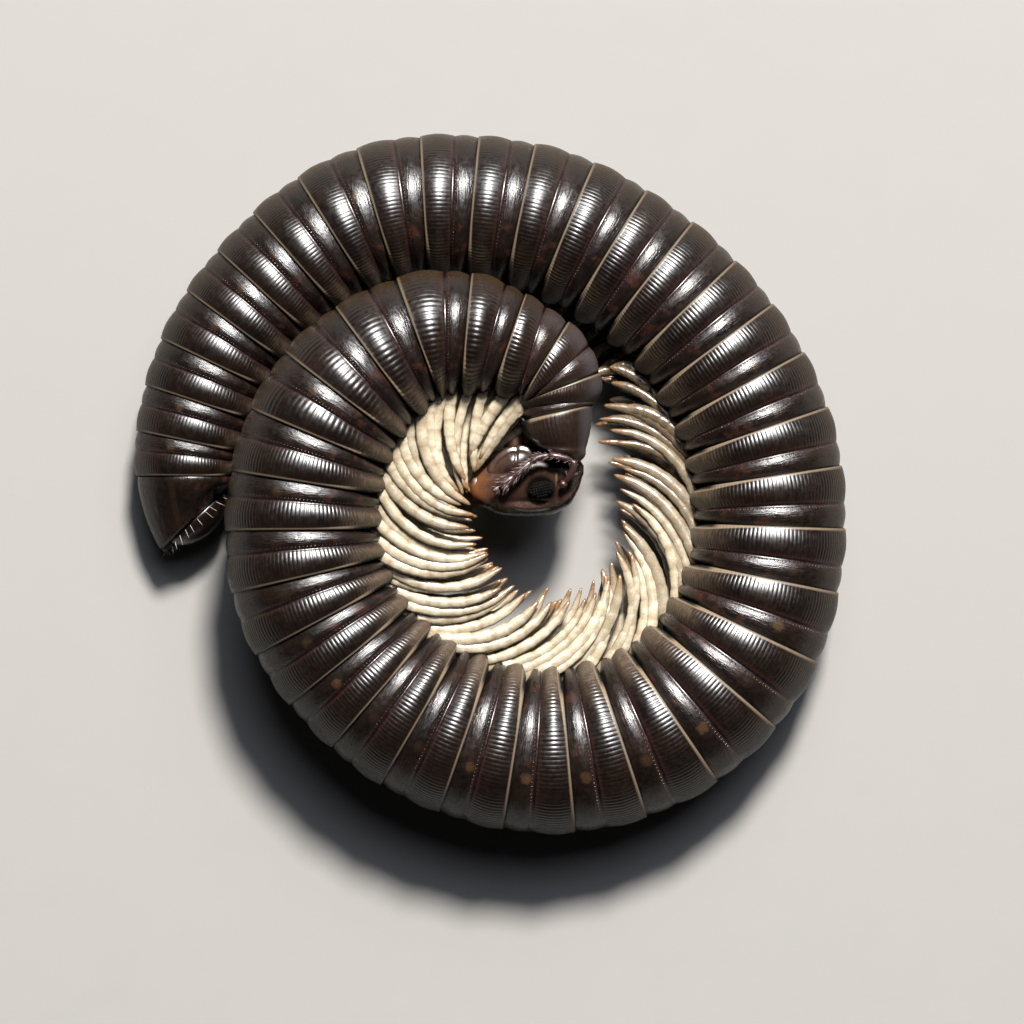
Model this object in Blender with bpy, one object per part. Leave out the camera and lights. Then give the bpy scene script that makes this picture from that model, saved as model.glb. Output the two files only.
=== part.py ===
"""White-legged snake millipede at life size, lying on its left side in a flat coil.

The named sizes are in millimetres and degrees, and the meshes are in metres with +Z up.
The coil is read from its own centre, the animal's back faces outwards and its legs inwards.
"""

import math
import random

import bmesh
import bpy
from mathutils import Matrix, Vector

MM = 0.001

# Gaps
LENGTH_GAP = 0.30
SMALL_GAP = 0.10

# Centre line of the trunk from the neck to the tail:
# angle about the coil's centre, distance from it, air under the body, half of its thickness
COIL = [
    (66.7, 1.56, 1.80, 0.77),
    (73.6, 1.95, 2.08, 0.83),
    (76.0, 2.61, 2.20, 0.95),
    (85.0, 3.09, 2.30, 1.02),
    (97.0, 3.41, 2.26, 1.18),
    (110.0, 3.84, 2.12, 1.36),
    (124.0, 4.28, 2.02, 1.43),
    (147.0, 4.66, 1.95, 1.57),
    (170.0, 4.91, 1.65, 1.65),
    (200.0, 5.19, 1.21, 1.72),
    (226.0, 5.29, 0.77, 1.72),
    (251.0, 5.41, 0.36, 1.78),
    (277.0, 5.61, 0.06, 1.83),
    (302.0, 5.71, 0.00, 1.81),
    (327.0, 5.61, 0.00, 1.77),
    (351.0, 5.36, 0.00, 1.70),
    (374.0, 5.23, 0.00, 1.71),
    (398.0, 5.21, 0.00, 1.73),
    (424.0, 5.51, 0.00, 1.70),
    (450.0, 6.18, 0.00, 1.72),
    (480.0, 7.13, 0.00, 1.65),
    (510.0, 7.46, 0.00, 1.50),
    (530.0, 7.59, 0.00, 1.32),
    (540.0, 7.55, 0.00, 1.14),
    (549.0, 7.50, 0.10, 0.80),
]
CURVE_STEPS = 40
LOOK = 0.15

# Rings
COLLUM_FRONT = 0.04
COLLUM_LENGTH = 0.78
COLLUM_SECTIONS = ((0.0, 0.90, 0.46), (0.35, 1.0, 0.32), (1.0, 1.02, 0.0))
NECK_RING_LENGTHS = (0.51, 0.57)
RING_LENGTHS = (
    (0, 0.88), (1, 0.96), (2, 1.07), (11, 1.02), (18, 1.30), (23, 1.04), (33, 1.06), (41, 0.86),
)
FULL_RINGS = 41
LAST_RING_LENGTH = 0.75
RINGS_PER_LENGTH = 4
RING_SIDES = 20
RING_PROFILE = ((0.00, 0.945), (0.48, 0.972), (0.97, 1.000))
BELLY_FLATTENING = (
    (0.0, 0.10), (1.0, 0.26), (2.2, 0.22), (4.0, 0.0), (7.0, -0.06), (27.0, -0.05), (31.0, 0.07),
)
FLAT_REACH = 0.075

# Colour and roughness of the shell, the head, the antennae, the eyes and the legs
SHELL = ((0.035, 0.022, 0.018), 0.25)
CAPSULE = ((0.12, 0.06, 0.045), 0.30)
FEELER = ((0.09, 0.05, 0.055), 0.35)
EYE_BLACK = ((0.010, 0.010, 0.012), 0.15)
IVORY = ((0.75, 0.68, 0.52), 0.40)

# Legs: root angle on the coil, distance of the tip from the coil's centre, backward sweep
LEG_REACH = (
    (70, 1.60, 40),
    (100, 1.50, 40),
    (130, 1.45, 40),
    (160, 1.35, 40),
    (200, 1.75, 40),
    (240, 2.20, 40),
    (270, 2.50, 38),
    (300, 2.30, 32),
    (330, 2.10, 30),
    (345, 2.00, 34),
    (358, 2.15, 38),
    (374, 2.50, 33),
    (385, 2.95, 28),
    (398, 3.25, 18),
    (412, 3.45, 7),
)
LEG_SPREAD = {1: 6, -1: -22}
LEG_TIP_SPREAD = 0.20

# Legs under the raised front of the body: they leave lower and stay short
HIDDEN_FROM = 410
HIDDEN_REACH = 1.3
HIDDEN_SWEEP = 10
HIDDEN_SPREAD = {1: -20, -1: -52}
HIDDEN_TIP_HEIGHTS = {1: 0.78, -1: 0.34}

# Leg shape: share of the way to the tip, half width along the body, half width across it
LEG_SIDES = 5
LEG_SECTIONS = (
    (0.00, 0.11, 0.24),
    (0.12, 0.11, 0.23),
    (0.42, 0.10, 0.18),
    (0.75, 0.07, 0.11),
    (1.00, 0.03, 0.04),
)
LEG_FULL_SIZE_AT = 1.6
LEG_ROOT_DEPTH = 0.72
LEG_LEAVES_AT = 1.02
LEG_ARCH = 0.35
LEG_DROP = 0.95
LEG_PAIRS_PER_LENGTH = 6
LEG_CROWDING = 0.90
LEG_SEED = 12

# Head: where its back lies, then sections with the distance from the back,
# the drop of the middle, the half height towards chin and brow, and the half width
HEAD_BACK = (1.17, 0.66, 2.45)
HEAD_SECTIONS = (
    (0.00, 0.00, 0.16, 0.30),
    (0.28, -0.17, 0.58, 0.66),
    (0.62, -0.22, 0.74, 0.79),
    (0.95, -0.22, 0.82, 0.84),
    (1.39, -0.24, 0.82, 0.84),
    (1.83, -0.31, 0.71, 0.77),
    (2.16, -0.34, 0.54, 0.63),
    (2.44, -0.37, 0.33, 0.46),
    (2.62, -0.36, 0.12, 0.20),
)
HEAD_SIDES = 16

# Small forms of the head: middle on its side, three radii, turn
CHEEK = ((-0.42, 0.80, 0.46), (0.60, 0.36, 0.42))
CHEEK_TURN = 24
MOUTH = ((-1.30, 0.46, 0.0), (0.30, 0.04, 0.55), 10)
LIP = ((-1.20, 0.40, 0.0), (0.30, 0.32, 0.50))
EYE = ((0.22, 0.22, 0.80), (0.29, 0.19, 0.14))
EYE_TURN = 12

# Antenna: points on the head's side from the socket to the tip, height above the head's middle
ANTENNA_PATH = (
    (0.64, 0.30, 0.92),
    (0.72, 0.56, 1.06),
    (0.58, 0.86, 1.12),
    (0.18, 0.90, 1.14),
    (-0.36, 0.51, 1.12),
    (-0.80, 0.18, 1.02),
)
ANTENNA_ARTICLES = (0.12, 0.46, 0.42, 0.34, 0.38, 0.30, 0.14)
ANTENNA_THICKNESS = (0.22, 0.24, 0.26, 0.28, 0.32, 0.32, 0.18)
ARTICLE_PROFILE = ((0.08, 0.72), (0.55, 0.94), (0.95, 1.00))
ANTENNA_SIDES = 6

# Tail: share of the tail's length, thickness as a share of the trunk's, rearward lean of its back
TAIL_LENGTH = 1.00
TAIL_SECTIONS = ((0.0, 0.96, 0.0), (0.30, 0.95, -0.12), (0.70, 0.86, -0.48), (1.0, 0.78, -0.70))
TAIL_SPINE = (-8.14, -1.17, 0.86)
TAIL_SPINE_ROOT = (0.72, 0.16)
TAIL_SPINE_RADII = (0.17, 0.17, 0.11, 0.03)
TAIL_SPINE_SHARES = (0.0, 0.4, 0.75, 1.0)
TAIL_SPINE_SIDES = 6
VALVE_SECTIONS = ((0.74, 0.0), (0.70, 0.14), (0.50, 0.30), (0.14, 0.40))
VALVE_SHIFT = 0.20


def curve_point(before, start, end, after, share):
    """A point on the smooth curve between start and end, by centripetal Catmull-Rom."""
    def step(a, b):
        return max(math.dist(a[:3], b[:3]), 1e-6) ** 0.5

    t1 = step(before, start)
    t2 = t1 + step(start, end)
    t3 = t2 + step(end, after)
    t = t1 + (t2 - t1) * share

    def mix(a, b, ta, tb):
        return [(x * (tb - t) + y * (t - ta)) / (tb - ta) for x, y in zip(a, b)]

    a1 = mix(before, start, 0.0, t1)
    a2 = mix(start, end, t1, t2)
    a3 = mix(end, after, t2, t3)
    b1 = mix(a1, a2, 0.0, t2)
    b2 = mix(a2, a3, t1, t3)
    return mix(b1, b2, t1, t2)


def centre_line():
    """Places along the trunk: distance from the neck, position, half thickness, coil angle."""
    knots = []
    for angle, radius, lift, half in COIL:
        turn = math.radians(angle)
        knots.append((radius * math.cos(turn), radius * math.sin(turn), lift + half, half, angle, lift))
    ahead = [2 * a - b for a, b in zip(knots[0], knots[1])]
    behind = [2 * a - b for a, b in zip(knots[-1], knots[-2])]
    knots = [ahead, *knots, behind]
    places = []
    travelled = 0.0
    for i in range(1, len(knots) - 2):
        for step in range(CURVE_STEPS):
            point = curve_point(*knots[i - 1:i + 3], step / CURVE_STEPS)
            position = Vector(point[:2] + [max(point[5], 0.0) + point[3]])
            if places:
                travelled += (position - places[-1][1]).length
            places.append((travelled, position, point[3], point[4]))
    return places


PLACES = centre_line()


def place_at(distance):
    """Position, half thickness and coil angle at a distance from the neck."""
    low, high = 0, len(PLACES) - 1
    while high - low > 1:
        middle = (low + high) // 2
        if PLACES[middle][0] <= distance:
            low = middle
        else:
            high = middle
    start, end = PLACES[low], PLACES[high]
    share = (distance - start[0]) / (end[0] - start[0])
    position = start[1].lerp(end[1], share)
    return position, start[2] + (end[2] - start[2]) * share, start[3] + (end[3] - start[3]) * share


def frame_at(distance):
    """Position, half thickness, coil angle, and the ways to the rear, the belly and up."""
    position, half, angle = place_at(distance)
    rear = place_at(distance + LOOK)[0] - place_at(distance - LOOK)[0]
    rear.z = 0.0
    rear.normalize()
    up = Vector((0, 0, 1))
    return position, half, angle, rear, up.cross(rear), up


def between(table, value):
    """The row of numbers that a table gives at a value, straight between its rows."""
    if value <= table[0][0]:
        return table[0][1:]
    for low, high in zip(table, table[1:]):
        if value <= high[0]:
            share = (value - low[0]) / (high[0] - low[0])
            return [a + (b - a) * share for a, b in zip(low[1:], high[1:])]
    return table[-1][1:]


def ring_spans():
    """Front and rear of each ring behind the collum, as distances from the neck."""
    lengths = list(NECK_RING_LENGTHS)
    lengths += [between(RING_LENGTHS, number)[0] for number in range(FULL_RINGS)]
    lengths.append(LAST_RING_LENGTH)
    spans = []
    front = COLLUM_LENGTH
    for length in lengths:
        spans.append((front, front + length))
        front += length
    return spans


def loft(loops):
    """A closed mesh through loops of points, each extruded from the last."""
    bm = bmesh.new()
    cap = bm.faces.new([bm.verts.new(point) for point in loops[0]])
    for number, points in enumerate(loops[1:]):
        made = bmesh.ops.extrude_face_region(bm, geom=[cap])["geom"]
        if number:
            bmesh.ops.delete(bm, geom=[cap], context="FACES_ONLY")
        cap = next(item for item in made if isinstance(item, bmesh.types.BMFace))
        for corner, point in zip(cap.verts, points):
            corner.co = point
    bmesh.ops.recalc_face_normals(bm, faces=bm.faces)
    return bm


def material(name, colour, roughness):
    made = bpy.data.materials.new(name)
    made.use_nodes = True
    shader = made.node_tree.nodes["Principled BSDF"]
    shader.inputs["Base Color"].default_value = (*colour, 1.0)
    shader.inputs["Roughness"].default_value = roughness
    shader.inputs["Metallic"].default_value = 0.0
    return made


def add_object(name, bm, finish):
    """An object from a mesh in millimetres."""
    bmesh.ops.scale(bm, vec=(MM, MM, MM), verts=bm.verts)
    mesh = bpy.data.meshes.new(name)
    bm.to_mesh(mesh)
    bm.free()
    made = bpy.data.objects.new(name, mesh)
    bpy.context.scene.collection.objects.link(made)
    mesh.materials.append(material(name, *finish))
    return made


def fuse(body, pieces):
    """Joins closed pieces to a body and keeps the largest closed surface."""
    holder = bpy.data.collections.new(body.name + "_pieces")
    bpy.context.scene.collection.children.link(holder)
    for piece in pieces:
        bpy.context.scene.collection.objects.unlink(piece)
        holder.objects.link(piece)
    union = body.modifiers.new("Union", "BOOLEAN")
    union.operation = "UNION"
    union.operand_type = "COLLECTION"
    union.collection = holder
    union.solver = "EXACT"
    graph = bpy.context.evaluated_depsgraph_get()
    joined = bpy.data.meshes.new_from_object(body.evaluated_get(graph))
    body.modifiers.clear()
    body.data = joined
    for piece in list(holder.objects):
        bpy.data.objects.remove(piece)
    bpy.data.collections.remove(holder)
    keep_largest(joined)


def keep_largest(mesh):
    """Deletes every closed surface of a mesh but the largest."""
    bm = bmesh.new()
    bm.from_mesh(mesh)
    left = set(bm.verts)
    shells = []
    while left:
        shell = set()
        queue = [left.pop()]
        while queue:
            vertex = queue.pop()
            shell.add(vertex)
            for edge in vertex.link_edges:
                other = edge.other_vert(vertex)
                if other in left:
                    left.remove(other)
                    queue.append(other)
        shells.append(shell)
    shells.sort(key=len)
    for shell in shells[:-1]:
        bmesh.ops.delete(bm, geom=list(shell), context="VERTS")
    bm.to_mesh(mesh)
    bm.free()


def ring_loop(distance, factor, lean=0.0):
    """Points round the trunk, from the belly over the upper side to the back and under."""
    position, half, _, rear, belly, up = frame_at(distance)
    points = []
    for side in range(RING_SIDES):
        turn = math.tau * (side + 0.5) / RING_SIDES
        across = math.cos(turn)
        radius = half * factor
        if across > 0:
            radius *= 1 - between(BELLY_FLATTENING, distance)[0] * across ** 2
        point = position + radius * (belly * across + up * math.sin(turn))
        point += rear * lean * radius * across
        if point.z < FLAT_REACH:
            point.z = 0.0
        points.append(point)
    return points


def leg(distance, side, luck):
    """One leg as a closed mesh, swept back and in from the belly to its fine tip."""
    position, half, angle, _, belly, up = frame_at(distance)
    hidden = angle >= HIDDEN_FROM
    spread = math.radians((HIDDEN_SPREAD if hidden else LEG_SPREAD)[side])
    out = half * (belly * math.cos(spread) + up * math.sin(spread))
    root = position + out * LEG_ROOT_DEPTH
    leave = position + out * LEG_LEAVES_AT
    start_angle = math.degrees(math.atan2(leave.y, leave.x)) % 360
    start_radius = leave.to_2d().length
    if hidden:
        reach = start_radius - HIDDEN_REACH
        sweep = HIDDEN_SWEEP
        tip_height = HIDDEN_TIP_HEIGHTS[side]
    else:
        reach, sweep = between(LEG_REACH, angle)
        tip_height = position.z * LEG_DROP + side * LEG_TIP_SPREAD
    sweep *= 1 + luck.uniform(-0.05, 0.05)
    reach *= 1 + luck.uniform(-0.03, 0.03)

    def path(share):
        turn = math.radians(start_angle + sweep * share)
        radius = start_radius + (reach - start_radius) * share + LEG_ARCH * share * (1 - share)
        height = leave.z + (tip_height - leave.z) * share
        return Vector((radius * math.cos(turn), radius * math.sin(turn), height))

    points = [root] + [path(share) for share, _, _ in LEG_SECTIONS[1:]]
    loops = []
    for i, (_, thin, deep) in enumerate(LEG_SECTIONS):
        along = (points[min(i + 1, len(points) - 1)] - points[max(i - 1, 0)]).normalized()
        beside = along.cross(Vector((0, 0, 1))).normalized()
        above = beside.cross(along)
        size = min(1.0, half / LEG_FULL_SIZE_AT)
        loop = []
        for corner in range(LEG_SIDES):
            turn = math.tau * corner / LEG_SIDES
            loop.append(points[i] + size * (beside * thin * math.cos(turn) + above * deep * math.sin(turn)))
        loops.append(loop)
    return loft(loops)


def trunk_length(name, spans, pairs, luck):
    """A few rings in one solid, with evenly spread pairs of legs."""
    loops = []
    first, last = spans[0][0], spans[-1][1]
    for front, rear in spans:
        for share, factor in RING_PROFILE:
            distance = front + (rear - front) * share
            distance = min(max(distance, first + LENGTH_GAP / 2), last - LENGTH_GAP / 2)
            loops.append(ring_loop(distance, factor))
    body = add_object(name, loft(loops), SHELL)
    pieces = []
    for pair in range(pairs):
        share = 0.5 + ((pair + 0.5) / pairs - 0.5) * LEG_CROWDING
        for side in (1, -1):
            grown = leg(first + (last - first) * share, side, luck)
            pieces.append(add_object("leg", grown, IVORY))
    fuse(body, pieces)
    return body


def collum():
    loops = []
    for share, factor, lean in COLLUM_SECTIONS:
        distance = COLLUM_FRONT + (COLLUM_LENGTH - LENGTH_GAP / 2 - COLLUM_FRONT) * share
        loops.append(ring_loop(distance, factor, lean))
    return add_object("collum", loft(loops), SHELL)


def head_middle():
    """The middle of the head's sides, from which its small pieces are placed."""
    return Vector((0.0, 0.0, HEAD_BACK[2]))


def blob(centre, radii, turn=0.0, detail=2):
    """A ball stretched to three radii, turned about the upright axis."""
    bm = bmesh.new()
    bmesh.ops.create_icosphere(bm, subdivisions=detail, radius=1.0)
    bmesh.ops.scale(bm, vec=radii, verts=bm.verts)
    bmesh.ops.rotate(bm, matrix=Matrix.Rotation(math.radians(turn), 3, "Z"), verts=bm.verts)
    bmesh.ops.translate(bm, vec=head_middle() + Vector(centre), verts=bm.verts)
    return bm


def mirrored(values, side):
    """A place on the upper side of the head, or the same place on its lower side."""
    return (values[0], values[1], values[2] * side)


def cut(body, cutter):
    """Takes a closed piece away from a body."""
    pocket = body.modifiers.new("Pocket", "BOOLEAN")
    pocket.operation = "DIFFERENCE"
    pocket.object = cutter
    pocket.solver = "EXACT"
    graph = bpy.context.evaluated_depsgraph_get()
    left = bpy.data.meshes.new_from_object(body.evaluated_get(graph))
    body.modifiers.clear()
    body.data = left
    bpy.data.objects.remove(cutter)
    keep_largest(left)


def head():
    """The capsule with its cheeks and lip, and a pocket for each eye."""
    back = Vector(HEAD_BACK)
    loops = []
    for ahead, drop, height, width in HEAD_SECTIONS:
        loop = []
        for side in range(HEAD_SIDES):
            turn = math.tau * (side + 0.5) / HEAD_SIDES
            loop.append(back + Vector((-ahead, drop + height * math.cos(turn), width * math.sin(turn))))
        loops.append(loop)
    made = add_object("head", loft(loops), CAPSULE)
    pieces = [add_object("lip", blob(*LIP), CAPSULE)]
    for side in (1, -1):
        cheek = blob(mirrored(CHEEK[0], side), CHEEK[1], CHEEK_TURN)
        pieces.append(add_object("cheek", cheek, CAPSULE))
    fuse(made, pieces)
    cut(made, add_object("mouth", blob(*MOUTH), CAPSULE))
    for side in (1, -1):
        radii = [radius + SMALL_GAP for radius in EYE[1]]
        cut(made, add_object("pocket", blob(mirrored(EYE[0], side), radii, EYE_TURN), CAPSULE))
    return made


def eyes():
    return [
        add_object(name, blob(mirrored(EYE[0], side), EYE[1], EYE_TURN), EYE_BLACK)
        for name, side in (("eye_right", 1), ("eye_left", -1))
    ]


def tube(points, radii, sides):
    """A closed tube through points with a radius at each."""
    loops = []
    for i, point in enumerate(points):
        along = (points[min(i + 1, len(points) - 1)] - points[max(i - 1, 0)]).normalized()
        beside = along.cross(Vector((0, 0, 1))).normalized()
        above = beside.cross(along)
        loop = []
        for side in range(sides):
            turn = math.tau * side / sides
            loop.append(point + radii[i] * (beside * math.cos(turn) + above * math.sin(turn)))
        loops.append(loop)
    return loft(loops)


def along_path(path, share):
    """A point on the smooth curve through a few points, by its share of their chord length."""
    steps = [(b - a).length for a, b in zip(path, path[1:])]
    left = share * sum(steps)
    number = 0
    while number < len(steps) - 1 and left > steps[number]:
        left -= steps[number]
        number += 1
    before = path[number - 1] if number else path[0] * 2 - path[1]
    after = path[number + 2] if number + 2 < len(path) else path[-1] * 2 - path[-2]
    return Vector(curve_point(before, path[number], path[number + 1], after, left / steps[number]))


def antenna(name, side):
    """Seven articles, each narrow at its base, along the side of the head."""
    path = [head_middle() + Vector(mirrored(point, side)) for point in ANTENNA_PATH]
    total = sum(ANTENNA_ARTICLES)
    points = []
    radii = []
    start = 0.0
    for length, thickness in zip(ANTENNA_ARTICLES, ANTENNA_THICKNESS):
        for share, factor in ARTICLE_PROFILE:
            points.append(along_path(path, (start + length * share) / total))
            radii.append(thickness / 2 * factor)
        start += length
    return add_object(name, tube(points, radii, ANTENNA_SIDES), FEELER)


def tail(front):
    """The last ring with its back drawn out into a spine, and the two valves that close it."""
    front += LENGTH_GAP / 2
    loops = [ring_loop(front + TAIL_LENGTH * share, factor, lean) for share, factor, lean in TAIL_SECTIONS]
    ring = add_object("tail", loft(loops), SHELL)
    end = front + TAIL_LENGTH
    position, half, _, rear, belly, _ = frame_at(end)
    root = position - belly * half * TAIL_SPINE_ROOT[0] + rear * half * TAIL_SPINE_ROOT[1]
    tip = Vector(TAIL_SPINE)
    points = [root.lerp(tip, share) for share in TAIL_SPINE_SHARES]
    spine = add_object("spine", tube(points, TAIL_SPINE_RADII, TAIL_SPINE_SIDES), SHELL)
    fuse(ring, [spine])
    return [ring, valve("valve_right", 1, end), valve("valve_left", -1, end)]


def valve(name, side, end):
    """One half of the low dome behind the last ring."""
    position, _, _, rear, belly, up = frame_at(end)
    _, factor, lean = TAIL_SECTIONS[-1]
    outward = (rear - belly * lean).normalized()
    shift = (belly + rear * lean).normalized() * VALVE_SHIFT
    rim = ring_loop(end, factor, lean)
    loops = []
    for share, rise in VALVE_SECTIONS:
        lift = outward * (SMALL_GAP + rise) + shift
        loops.append([position + (point - position) * share + lift for point in rim])
    bm = loft(loops)
    whole = [*bm.verts, *bm.edges, *bm.faces]
    plane = position + up * side * SMALL_GAP / 2
    bmesh.ops.bisect_plane(bm, geom=whole, plane_co=plane, plane_no=up * side, clear_inner=True)
    bmesh.ops.holes_fill(bm, edges=bm.edges)
    bmesh.ops.recalc_face_normals(bm, faces=bm.faces)
    return add_object(name, bm, SHELL)


def clear_scene():
    for item in list(bpy.data.objects):
        bpy.data.objects.remove(item)


def centre_on_floor(made):
    """Moves every mesh so that the whole stands about the origin."""
    points = [vertex.co for item in made for vertex in item.data.vertices]
    middle = [(min(p[axis] for p in points) + max(p[axis] for p in points)) / 2 for axis in (0, 1)]
    for item in made:
        for vertex in item.data.vertices:
            vertex.co.x -= middle[0]
            vertex.co.y -= middle[1]


def main():
    clear_scene()
    luck = random.Random(LEG_SEED)
    made = [head(), collum(), *eyes(), antenna("antenna_right", 1), antenna("antenna_left", -1)]
    spans = ring_spans()
    neck = len(NECK_RING_LENGTHS) + 2
    groups = [spans[:neck]]
    for start in range(neck, len(spans), RINGS_PER_LENGTH):
        groups.append(spans[start:start + RINGS_PER_LENGTH])
    for number, group in enumerate(groups, 1):
        pairs = LEG_PAIRS_PER_LENGTH - (number == 1)
        made.append(trunk_length(f"trunk_{number:02d}", group, pairs, luck))
    made += tail(spans[-1][1])
    centre_on_floor(made)


main()
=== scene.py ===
import math
import random
from bisect import bisect
from functools import cache

import bmesh
import bpy
from mathutils import Matrix, Vector


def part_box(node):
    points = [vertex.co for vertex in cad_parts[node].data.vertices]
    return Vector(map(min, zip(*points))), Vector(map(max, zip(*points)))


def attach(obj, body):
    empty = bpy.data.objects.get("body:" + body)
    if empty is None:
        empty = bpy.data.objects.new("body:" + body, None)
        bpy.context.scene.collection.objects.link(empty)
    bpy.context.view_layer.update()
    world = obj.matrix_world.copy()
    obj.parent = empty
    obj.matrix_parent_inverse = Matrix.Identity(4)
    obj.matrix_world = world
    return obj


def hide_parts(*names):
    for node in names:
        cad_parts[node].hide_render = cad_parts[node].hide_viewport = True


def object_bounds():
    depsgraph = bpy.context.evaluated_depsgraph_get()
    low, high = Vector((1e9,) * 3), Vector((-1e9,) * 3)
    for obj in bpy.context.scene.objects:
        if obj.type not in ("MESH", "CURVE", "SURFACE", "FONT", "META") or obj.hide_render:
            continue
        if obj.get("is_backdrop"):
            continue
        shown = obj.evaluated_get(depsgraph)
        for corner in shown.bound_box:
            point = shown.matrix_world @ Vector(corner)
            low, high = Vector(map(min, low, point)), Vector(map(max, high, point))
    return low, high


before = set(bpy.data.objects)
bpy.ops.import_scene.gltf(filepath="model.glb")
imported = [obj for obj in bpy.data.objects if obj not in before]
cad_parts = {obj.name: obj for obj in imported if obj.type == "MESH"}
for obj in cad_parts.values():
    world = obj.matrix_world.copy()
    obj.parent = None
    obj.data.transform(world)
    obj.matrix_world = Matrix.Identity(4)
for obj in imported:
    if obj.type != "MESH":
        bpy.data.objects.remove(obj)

# The frame is in metres. The animal is modelled in millimetres round the middle of its coil,
# and finishPiece moves each mesh to its place in the frame.
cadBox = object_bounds()
mm = 0.001
luck = random.Random(7)
print("frame loaded:", len(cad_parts), "nodes")


# the line of the body

coil = {
    "knots": (  # angle, distance from the coil's middle, air below, half thickness
        (66.7, 1.56, 2.02, 0.77), (73.6, 1.95, 2.27, 0.83), (76.0, 2.61, 2.33, 0.95),
        (85.0, 3.09, 2.37, 1.02), (97.0, 3.41, 2.29, 1.18), (110.0, 3.84, 2.12, 1.36),
        (124.0, 4.28, 2.02, 1.43), (147.0, 4.66, 1.95, 1.57), (170.0, 4.91, 1.65, 1.65),
        (200.0, 5.19, 1.21, 1.72), (226.0, 5.29, 0.77, 1.72), (251.0, 5.41, 0.36, 1.78),
        (277.0, 5.61, 0.06, 1.83), (302.0, 5.71, 0.00, 1.81), (327.0, 5.61, 0.00, 1.77),
        (351.0, 5.36, 0.00, 1.70), (374.0, 5.23, 0.00, 1.71), (398.0, 5.21, 0.00, 1.73),
        (424.0, 5.51, 0.00, 1.70), (450.0, 6.18, 0.00, 1.72), (480.0, 7.13, 0.00, 1.65),
        (510.0, 7.46, 0.00, 1.50), (530.0, 7.59, 0.00, 1.32), (540.0, 7.55, 0.00, 1.14),
        (549.0, 7.50, 0.10, 0.80),
    ),
    "steps": 40,
    "look": 0.15,
    "bellyFlattening": (  # distance from the neck, share of the half thickness
        (0.0, 0.10), (1.5, 0.02), (3.0, -0.04), (7.0, -0.06), (27.0, -0.05), (31.0, 0.07),
    ),
    "neckLean": (  # distance from the neck, how far the rings lean in the tight bend
        (0.0, 0.0), (0.51, -0.27), (1.13, -0.38), (1.85, -0.20), (2.7, 0.0),
    ),
    "eyePlace": (0.22, 0.22),  # of the solid eye, from the coil's middle
}
eyeLow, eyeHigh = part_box("eye_right")
coilShift = (eyeLow + eyeHigh) / 2 / mm - Vector((*coil["eyePlace"], 0.0))
coilShift.z = 0.0


def curvePoint(before, start, end, after, share):
    # centripetal Catmull-Rom, through any number of values at once
    def stretch(a, b):
        return max(math.dist(a[:3], b[:3]), 1e-6) ** 0.5

    t1 = stretch(before, start)
    t2 = t1 + stretch(start, end)
    t3 = t2 + stretch(end, after)
    t = t1 + (t2 - t1) * share

    def mix(a, b, ta, tb):
        return [(x * (tb - t) + y * (t - ta)) / (tb - ta) for x, y in zip(a, b)]

    a1 = mix(before, start, 0.0, t1)
    a2 = mix(start, end, t1, t2)
    a3 = mix(end, after, t2, t3)
    return mix(mix(a1, a2, 0.0, t2), mix(a2, a3, t1, t3), t1, t2)


def bodyLine():
    knots = []
    for angle, radius, air, half in coil["knots"]:
        turn = math.radians(angle)
        knots.append((radius * math.cos(turn), radius * math.sin(turn), air + half, half, angle, air))
    ahead = [2 * a - b for a, b in zip(knots[0], knots[1])]
    behind = [2 * a - b for a, b in zip(knots[-1], knots[-2])]
    knots = [ahead, *knots, behind]
    places = []
    travelled = 0.0
    for i in range(1, len(knots) - 2):
        for step in range(coil["steps"]):
            point = curvePoint(*knots[i - 1:i + 3], step / coil["steps"])
            position = Vector(point[:2] + [max(point[5], 0.0) + point[3]])
            if places:
                travelled += (position - places[-1][1]).length
            places.append((travelled, position, point[3], point[4]))
    return places


bodyPlaces = bodyLine()


def placeAt(distance):
    last = len(bodyPlaces) - 1
    number = bisect(bodyPlaces, distance, 1, last, key=lambda place: place[0])
    (near, *start), (far, *end) = bodyPlaces[number - 1:number + 1]
    return [a + (b - a) * (distance - near) / (far - near) for a, b in zip(start, end)]


def bodyFrame(distance):
    # place, half thickness, coil angle, then the ways to the rear, the belly and up; the rings stand upright
    position, half, angle = placeAt(distance)
    rear = placeAt(distance + coil["look"])[0] - placeAt(distance - coil["look"])[0]
    rear.z = 0.0
    rear.normalize()
    up = Vector((0, 0, 1))
    return position, half, angle, rear, up.cross(rear), up


def between(table, value):
    if value <= table[0][0]:
        return table[0][1:]
    for low, high in zip(table, table[1:]):
        if value <= high[0]:
            share = (value - low[0]) / (high[0] - low[0])
            return [a + (b - a) * share for a, b in zip(low[1:], high[1:])]
    return table[-1][1:]


# mesh helpers

def spinTube(rows, steps):
    # rows of (height, radius), spun round the upright axis, ends closed
    bm = bmesh.new()
    line = [bm.verts.new((radius, 0.0, height)) for height, radius in rows]
    edges = [bm.edges.new(pair) for pair in zip(line, line[1:])]
    bmesh.ops.spin(
        bm, geom=line + edges, cent=(0, 0, 0), axis=(0, 0, 1), dvec=(0, 0, 0),
        angle=math.tau, steps=steps, use_merge=True,
    )
    bmesh.ops.holes_fill(bm, edges=[edge for edge in bm.edges if edge.is_boundary])
    return bm


def straightPlaces(bm):
    # every vertex of a spun tube with its turn, radius and height
    return [
        (vert, math.atan2(vert.co.y, vert.co.x) % math.tau, vert.co.to_2d().length, vert.co.z)
        for vert in bm.verts
    ]


def addLayers(bm, *names):
    return [bm.verts.layers.float.new(name) for name in names]


def paint(vert, layers, *values):
    for layer, value in zip(layers, values):
        vert[layer] = value


def across(way):
    # the two ways square to one along a limb, level and upward
    beside = way.cross(Vector((0, 0, 1))).normalized()
    return beside, beside.cross(way)


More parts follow.
